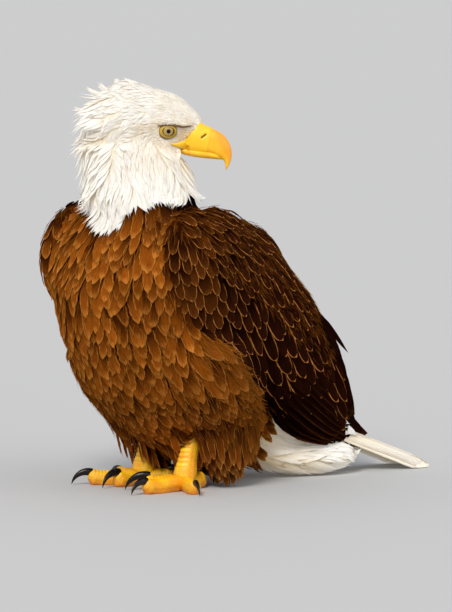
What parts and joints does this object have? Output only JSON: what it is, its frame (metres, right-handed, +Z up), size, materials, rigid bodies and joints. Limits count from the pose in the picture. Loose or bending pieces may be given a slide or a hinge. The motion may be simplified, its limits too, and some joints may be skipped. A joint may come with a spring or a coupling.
{
  "type": "bald eagle",
  "caption": "Life-size bald eagle standing on the ground with folded wings, its head turned back over its left shoulder; a still model to show the whole bird.",
  "frame": {"origin": "centre of the part's box at ground level", "axes": "+Z up; the bird faces -Y, its tail points to +Y and its left side is +X"},
  "size_m": [0.2886, 0.607, 0.5482],
  "materials": {
    "white_feathers": "matte white feathers with cream shading",
    "body_feathers": "golden-brown feathers with paler tips",
    "covert_feathers": "dark brown feathers with thin golden-tan rims",
    "flight_feathers": "blackish brown, slightly glossy vanes",
    "bill_horn": "smooth yellow-orange horn",
    "foot_scales": "orange-yellow scaly skin",
    "claw_horn": "glossy black horn",
    "eye": "glossy, pale yellow iris round a black pupil"
  },
  "bodies": {
    "root": {"head": "white_feathers", "neck": "white_feathers", "tail": "white_feathers", "tail_coverts_under": "white_feathers", "tail_coverts_over": "white_feathers", "trunk": "body_feathers", "thigh_left": "body_feathers", "thigh_right": "body_feathers", "wing_left_coverts": "covert_feathers", "wing_right_coverts": "covert_feathers", "wing_left_secondaries": "flight_feathers", "wing_left_primaries": "flight_feathers", "wing_right_secondaries": "flight_feathers", "wing_right_primaries": "flight_feathers", "bill_upper": "bill_horn", "bill_lower": "bill_horn", "tarsus_left": "foot_scales", "tarsus_right": "foot_scales", "toe_left_inner": "foot_scales", "toe_left_middle": "foot_scales", "toe_left_outer": "foot_scales", "toe_left_hind": "foot_scales", "toe_right_inner": "foot_scales", "toe_right_middle": "foot_scales", "toe_right_outer": "foot_scales", "toe_right_hind": "foot_scales", "claw_left_inner": "claw_horn", "claw_left_middle": "claw_horn", "claw_left_outer": "claw_horn", "claw_left_hind": "claw_horn", "claw_right_inner": "claw_horn", "claw_right_middle": "claw_horn", "claw_right_outer": "claw_horn", "claw_right_hind": "claw_horn", "eye_left": "eye", "eye_right": "eye"}
  },
  "joints": []
}
